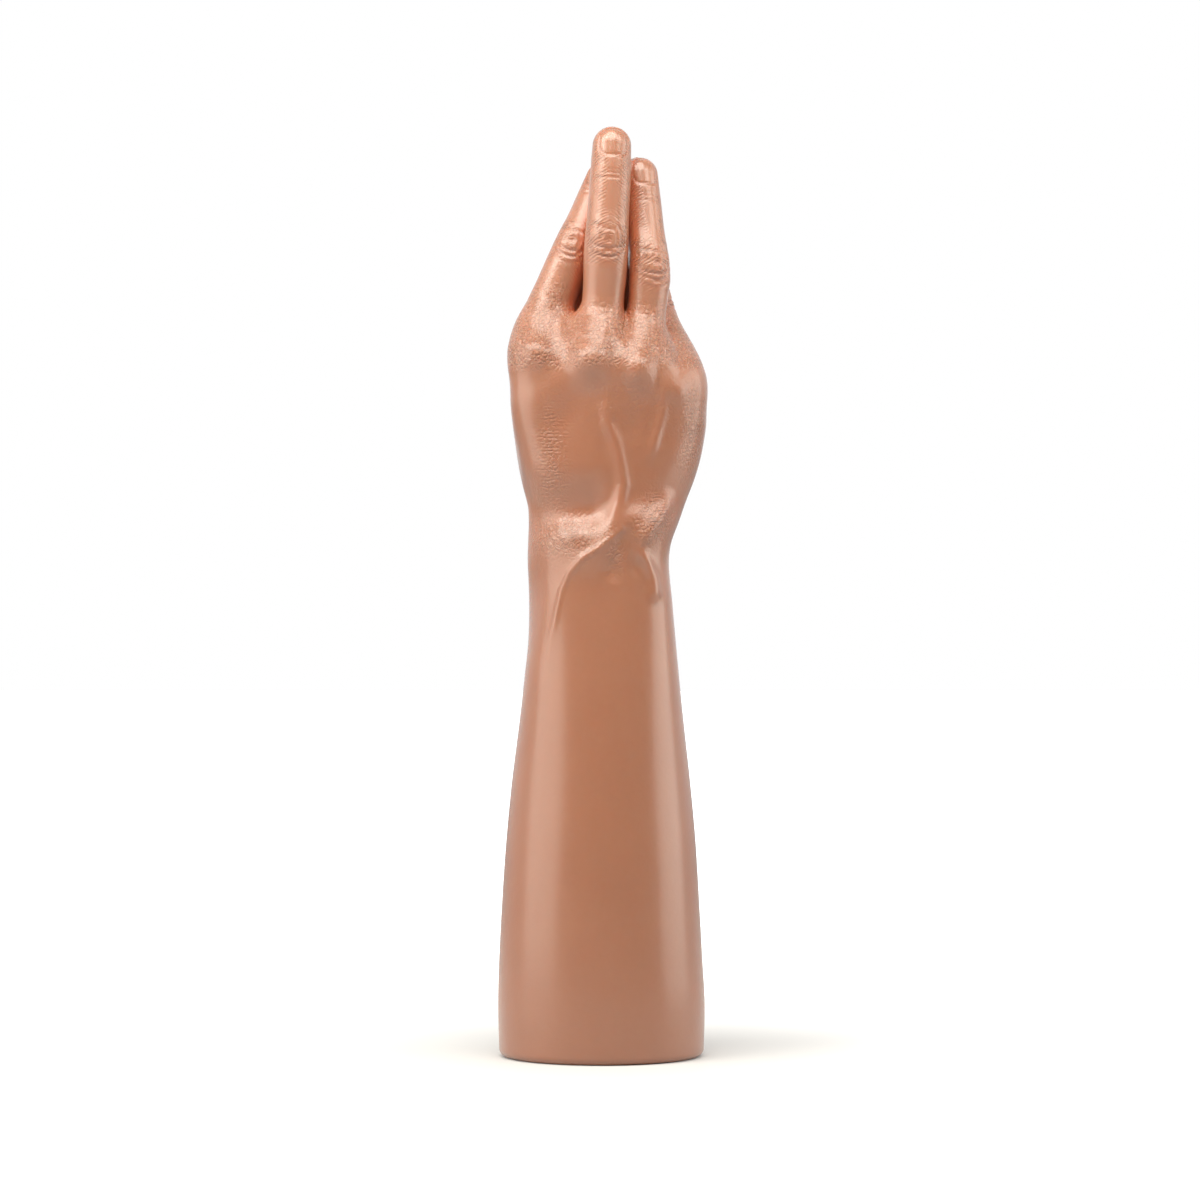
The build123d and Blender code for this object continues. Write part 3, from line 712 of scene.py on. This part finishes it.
def skin_material():
    material, tree, shader = new_material("soft_skin")
    place = node(tree, "ShaderNodeTexCoord").outputs["Object"]
    mottle = noise(tree, place, 38.0, 4.0, 0.6)["Fac"]
    fine = noise(tree, place, 420.0, 3.0, 0.6)["Fac"]
    tone = mix_colour(tree, mottle, (0.243, 0.094, 0.048, 1), (0.276, 0.114, 0.061, 1))
    tone = mix_colour(tree, math_node(tree, "MULTIPLY", fine, 0.16), tone, (0.36, 0.14, 0.082, 1))
    # painted light: the fingers are coloured paler than the back of the hand, standing in for light glowing
    # through their thin skin
    height = node(tree, "ShaderNodeSeparateXYZ", {0: place}).outputs["Z"]
    paler_fingers_painted_light = node(tree, "ShaderNodeMapRange", {"Value": height, "From Min": 0.246, "From Max": 0.282},
                interpolation_type="SMOOTHSTEP").outputs[0]
    tone = mix_colour(tree, math_node(tree, "MULTIPLY", paler_fingers_painted_light, 0.75), tone, (0.335, 0.146, 0.086, 1))
    # painted shade: the creases, the pits at the knuckles and the groove round each nail are coloured a
    # darker red-brown
    crease_shade_share = math_node(tree, "MULTIPLY", attribute(tree, "crease_shade"), 0.9, clamp=True)
    tone = mix_colour(tree, crease_shade_share, tone, (0.25, 0.070, 0.032, 1))
    shaded = math_node(tree, "POWER", attribute(tree, "shade"), 1.5)
    tone = mix_colour(tree, math_node(tree, "MULTIPLY", shaded, 0.65), tone, (0.47, 0.118, 0.050, 1))
    nailed = math_node(tree, "MULTIPLY", attribute(tree, "nail"), 0.5)
    tone = mix_colour(tree, nailed, tone, (0.34, 0.155, 0.095, 1))
    tree.links.new(tone, shader.inputs["Base Color"])
    shader.inputs["Subsurface Weight"].default_value = 0.35
    shader.inputs["Subsurface Radius"].default_value = (1.0, 0.35, 0.18)
    shader.inputs["Subsurface Scale"].default_value = 0.004
    shader.inputs["Specular IOR Level"].default_value = 0.5
    shader.inputs["IOR"].default_value = 1.42
    shader.inputs["Coat Weight"].default_value = 0.9
    shader.inputs["Coat Roughness"].default_value = 0.25
    rough = math_node(tree, "MULTIPLY_ADD", fine, 0.12, 0.30)
    rough = math_node(tree, "ADD", rough, math_node(tree, "MULTIPLY", attribute(tree, "nail"), -0.1))
    tree.links.new(rough, shader.inputs["Roughness"])
    # fine folds: small plates of skin with lines between them
    warp = noise(tree, place, 260.0, 2.0)
    bent = node(tree, "ShaderNodeVectorMath", {0: warp["Color"], 1: (0.0010, 0.0010, 0.0010)},
                operation="MULTIPLY")
    bent = node(tree, "ShaderNodeVectorMath", {0: place, 1: bent.outputs[0]}, operation="ADD")
    plates = node(tree, "ShaderNodeTexVoronoi", {"Vector": bent.outputs[0], "Scale": 560.0},
                  feature="DISTANCE_TO_EDGE")
    plates = math_node(tree, "SMOOTH_MIN", plates.outputs["Distance"], 0.35, 0.2)
    folds = math_node(tree, "MULTIPLY", plates, attribute(tree, "folds"))
    normal = bump_node(tree, folds, 1.0, 0.0017)
    # lines across the backs of the digits
    along = math_node(tree, "MULTIPLY", attribute(tree, "along"), 4.6)
    sway = math_node(tree, "MULTIPLY", warp["Fac"], 9.0)
    waves = math_node(tree, "SINE", math_node(tree, "ADD", along, sway))
    patchy = math_node(tree, "MULTIPLY_ADD", noise(tree, place, 240.0, 1.0)["Fac"], 3.0, -1.0, clamp=True)
    lines = math_node(tree, "MULTIPLY", math_node(tree, "MULTIPLY", waves, patchy), attribute(tree, "lines"))
    normal = bump_node(tree, lines, 0.9, 0.00028, over=normal)
    pores = bump_node(tree, fine, 0.16, 0.0004, over=normal)
    tree.links.new(pores, shader.inputs["Normal"])
    return material


skin.data.materials.append(skin_material())
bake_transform(skin)
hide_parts("hand_glove", "forearm_cover")


def foam_material():
    material, tree, shader = new_material("foam")
    place = node(tree, "ShaderNodeTexCoord").outputs["Object"]
    cells = node(tree, "ShaderNodeTexVoronoi", {"Vector": place, "Scale": 1400.0})
    patches = noise(tree, place, 60.0, 5.0)["Fac"]
    tone = mix_colour(tree, patches, (0.80, 0.66, 0.40, 1), (0.88, 0.77, 0.54, 1))
    # painted shade: dark spots where the foam's open pores would fall into shade
    pore_shade = math_node(tree, "LESS_THAN", cells.outputs["Distance"], 0.22)
    tone = mix_colour(tree, math_node(tree, "MULTIPLY", pore_shade, 0.5), tone, (0.45, 0.33, 0.16, 1))
    tree.links.new(tone, shader.inputs["Base Color"])
    shader.inputs["Roughness"].default_value = 0.9
    tree.links.new(bump_node(tree, cells.outputs["Distance"], 0.6, 0.0004), shader.inputs["Normal"])
    return material


core.data.materials.append(foam_material())
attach(core, "hand")
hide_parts("foam_core")


# ---------------------------------------------------------------- the pieces under the skin
def metal_material(name, tone, worn, roughness, stretch=None):
    """Metal with its tool marks: round the wrist's axis, or drawn out along one direction."""
    material, tree, shader = new_material(name)
    place = node(tree, "ShaderNodeTexCoord").outputs["Object"]
    if stretch is None:
        parts = node(tree, "ShaderNodeSeparateXYZ", {0: place})
        from_axis = node(tree, "ShaderNodeCombineXYZ", {
            0: math_node(tree, "ADD", parts.outputs["X"], -axis_x * MM),
            1: math_node(tree, "ADD", parts.outputs["Y"], -axis_y * MM)})
        radius = node(tree, "ShaderNodeVectorMath", {0: from_axis.outputs[0]}, operation="LENGTH")
        marked = node(tree, "ShaderNodeCombineXYZ",
                      {0: radius.outputs["Value"], 1: parts.outputs["Z"]}).outputs[0]
    else:
        marked = node(tree, "ShaderNodeVectorMath", {0: place, 1: stretch}, operation="MULTIPLY").outputs[0]
    marks = noise(tree, marked, 2600.0, 3.0, 0.65)["Fac"]
    wear = noise(tree, place, 130.0, 5.0, 0.6)["Fac"]
    tree.links.new(mix_colour(tree, wear, tone, worn), shader.inputs["Base Color"])
    shader.inputs["Metallic"].default_value = 1.0
    tree.links.new(math_node(tree, "MULTIPLY_ADD", marks, 0.22, roughness), shader.inputs["Roughness"])
    tree.links.new(bump_node(tree, marks, 0.35, 0.00006), shader.inputs["Normal"])
    return material


def laminate_material():
    """Glass and stockinette in clear resin: a woven ground under a gloss."""
    material, tree, shader = new_material("laminate_weave")
    place = node(tree, "ShaderNodeTexCoord").outputs["Object"]
    bent = noise(tree, place, 70.0, 2.0)["Color"]
    sway = node(tree, "ShaderNodeVectorMath", {0: bent, 1: (0.0015, 0.0015, 0.0015)},
                operation="MULTIPLY")
    place = node(tree, "ShaderNodeVectorMath", {0: place, 1: sway.outputs[0]}, operation="ADD").outputs[0]
    courses = node(tree, "ShaderNodeTexWave", {"Vector": place, "Scale": 210.0, "Distortion": 0.6},
                   bands_direction="Z")
    wales = node(tree, "ShaderNodeTexWave", {"Vector": place, "Scale": 210.0, "Distortion": 0.6},
                 bands_direction="DIAGONAL")
    weave = math_node(tree, "MULTIPLY", courses.outputs["Fac"], wales.outputs["Fac"])
    tone = mix_colour(tree, weave, (0.33, 0.17, 0.095, 1), (0.46, 0.27, 0.165, 1))
    tree.links.new(tone, shader.inputs["Base Color"])
    shader.inputs["Roughness"].default_value = 0.45
    shader.inputs["Coat Weight"].default_value = 0.8
    shader.inputs["Coat Roughness"].default_value = 0.12
    tree.links.new(bump_node(tree, weave, 0.5, 0.00012), shader.inputs["Normal"])
    return material


def plastic_material(name, light, dark, roughness, grain, depth, soft):
    """A moulded or turned plastic with a fine grain and faint clouding."""
    material, tree, shader = new_material(name)
    place = node(tree, "ShaderNodeTexCoord").outputs["Object"]
    cloud = noise(tree, place, 55.0, 4.0, 0.55)["Fac"]
    grains = noise(tree, place, grain, 3.0, 0.6)["Fac"]
    tree.links.new(mix_colour(tree, cloud, dark, light), shader.inputs["Base Color"])
    tree.links.new(math_node(tree, "MULTIPLY_ADD", grains, 0.15, roughness), shader.inputs["Roughness"])
    shader.inputs["Subsurface Weight"].default_value = soft
    shader.inputs["Subsurface Scale"].default_value = 0.002
    tree.links.new(bump_node(tree, grains, 0.4, depth), shader.inputs["Normal"])
    return material


ALUMINIUM = ((0.80, 0.81, 0.82, 1), (0.66, 0.67, 0.69, 1))
STEEL = ((0.62, 0.61, 0.60, 1), (0.48, 0.47, 0.46, 1))
turned_aluminium = metal_material("turned_aluminium", *ALUMINIUM, 0.22)
milled_aluminium = metal_material("milled_aluminium", *ALUMINIUM, 0.26, stretch=(0.06, 1.0, 1.0))
inner_materials = {
    "laminate": laminate_material(),
    "liner": plastic_material("socket_liner", (0.86, 0.83, 0.76, 1), (0.78, 0.74, 0.66, 1),
                              0.42, 900.0, 0.00008, 0.2),
    "aluminium": turned_aluminium,
    "acetal": plastic_material("turned_acetal", (0.90, 0.90, 0.87, 1), (0.84, 0.84, 0.80, 1),
                               0.28, 2200.0, 0.00002, 0.1),
    "steel": metal_material("bright_steel", *STEEL, 0.18),
    "wire": metal_material("drawn_wire", (0.76, 0.77, 0.78, 1), (0.60, 0.61, 0.63, 1), 0.24,
                           stretch=(1.0, 1.0, 0.03)),
}
milled = ("hand_plate", "armature_bracket", "wire_clamp")
for part in frame["record"]["subparts"]:
    if part["material_slot"] in inner_materials:
        slots = frame["nodes"][part["node"]].data.materials
        slots.clear()
        slots.append(milled_aluminium if part["node"] in milled else inner_materials[part["material_slot"]])

# ---------------------------------------------------------------- floor, lights and camera
floor_mesh = bpy.data.meshes.new("floor")
floor_mesh.from_pydata([(-6, -6, 0), (6, -6, 0), (6, 6, 0), (-6, 6, 0)], [], [(0, 1, 2, 3)])
floor = bpy.data.objects.new("floor", floor_mesh)
bpy.context.scene.collection.objects.link(floor)
floor_material, tree, shader = new_material("pale_floor")
shader.inputs["Base Color"].default_value = (0.54, 0.54, 0.54, 1)
shader.inputs["Roughness"].default_value = 0.7
shader.inputs["Emission Color"].default_value = (1, 1, 1, 1)
floor_place = node(tree, "ShaderNodeTexCoord").outputs["Object"]
# the floor glows white to the camera, fading towards the base as a painted shadow round it
away = node(tree, "ShaderNodeVectorMath", {0: floor_place}, operation="LENGTH").outputs["Value"]
glow_with_painted_shadow = node(tree, "ShaderNodeMapRange", {"Value": away, "From Min": 0.045, "From Max": 0.34,
                                         "To Min": 0.05, "To Max": 1.05}, interpolation_type="SMOOTHSTEP")
seen = node(tree, "ShaderNodeLightPath").outputs["Is Camera Ray"]
tree.links.new(math_node(tree, "MULTIPLY", glow_with_painted_shadow.outputs[0], seen), shader.inputs["Emission Strength"])
floor.data.materials.append(floor_material)

world = bpy.data.worlds.new("studio")
bpy.context.scene.world = world
world.use_nodes = True
sky = world.node_tree
# the backdrop is white to the eye, and dimmer in the light it gives, most of all from the front
background = sky.nodes["Background"]
background.inputs["Color"].default_value = (1, 1, 1, 1)
direction = node(sky, "ShaderNodeTexCoord").outputs["Generated"]
front_to_back = node(sky, "ShaderNodeSeparateXYZ", {0: direction}).outputs["Y"]
given = node(sky, "ShaderNodeMapRange", {"Value": front_to_back, "From Min": -0.4, "From Max": 0.5,
                                         "To Min": 0.22, "To Max": 0.85})
sky.links.new(given.outputs[0], background.inputs["Strength"])
white = node(sky, "ShaderNodeBackground", {"Color": (1, 1, 1, 1), "Strength": 1.0})
to_eye = node(sky, "ShaderNodeLightPath").outputs["Is Camera Ray"]
both = node(sky, "ShaderNodeMixShader", {0: to_eye, 1: background.outputs[0], 2: white.outputs[0]})
sky.links.new(both.outputs[0], sky.nodes["World Output"].inputs["Surface"])


def softbox(name, place, target, size, watts):
    light = bpy.data.lights.new(name, "AREA")
    light.shape = "ELLIPSE"
    light.size, light.size_y = size
    light.energy = watts
    light.color = (1.0, 0.965, 0.875)
    obj = bpy.data.objects.new(name, light)
    obj.location = place
    obj.rotation_euler = (Vector(target) - Vector(place)).to_track_quat("-Z", "Y").to_euler()
    bpy.context.scene.collection.objects.link(obj)


softbox("left_softbox", (-1.03, -0.38, 0.45), (0, 0, 0.2), (1.1, 1.4), 9.6)
softbox("right_strip", (1.05, -0.05, 0.32), (0, 0, 0.2), (0.8, 1.3), 7.0)
softbox("top_softbox", (-0.06, -0.52, 1.05), (0, 0, 0.26), (0.95, 0.75), 13.0)
softbox("upper_left", (-0.72, -0.50, 0.92), (0, 0, 0.24), (0.7, 0.6), 6.6)
softbox("upper_right", (0.66, -0.55, 0.92), (0, 0, 0.24), (0.55, 0.5), 3.8)

camera_data = bpy.data.cameras.new("camera")
camera_data.sensor_width = 36.0
camera_data.lens = 115.9
camera = bpy.data.objects.new("camera", camera_data)
camera.location = (-0.0006, -1.5, 0.1768)
camera.rotation_euler = (math.pi / 2, 0, 0)
bpy.context.scene.collection.objects.link(camera)
bpy.context.scene.camera = camera

bpy.context.scene.view_settings.view_transform = "Standard"
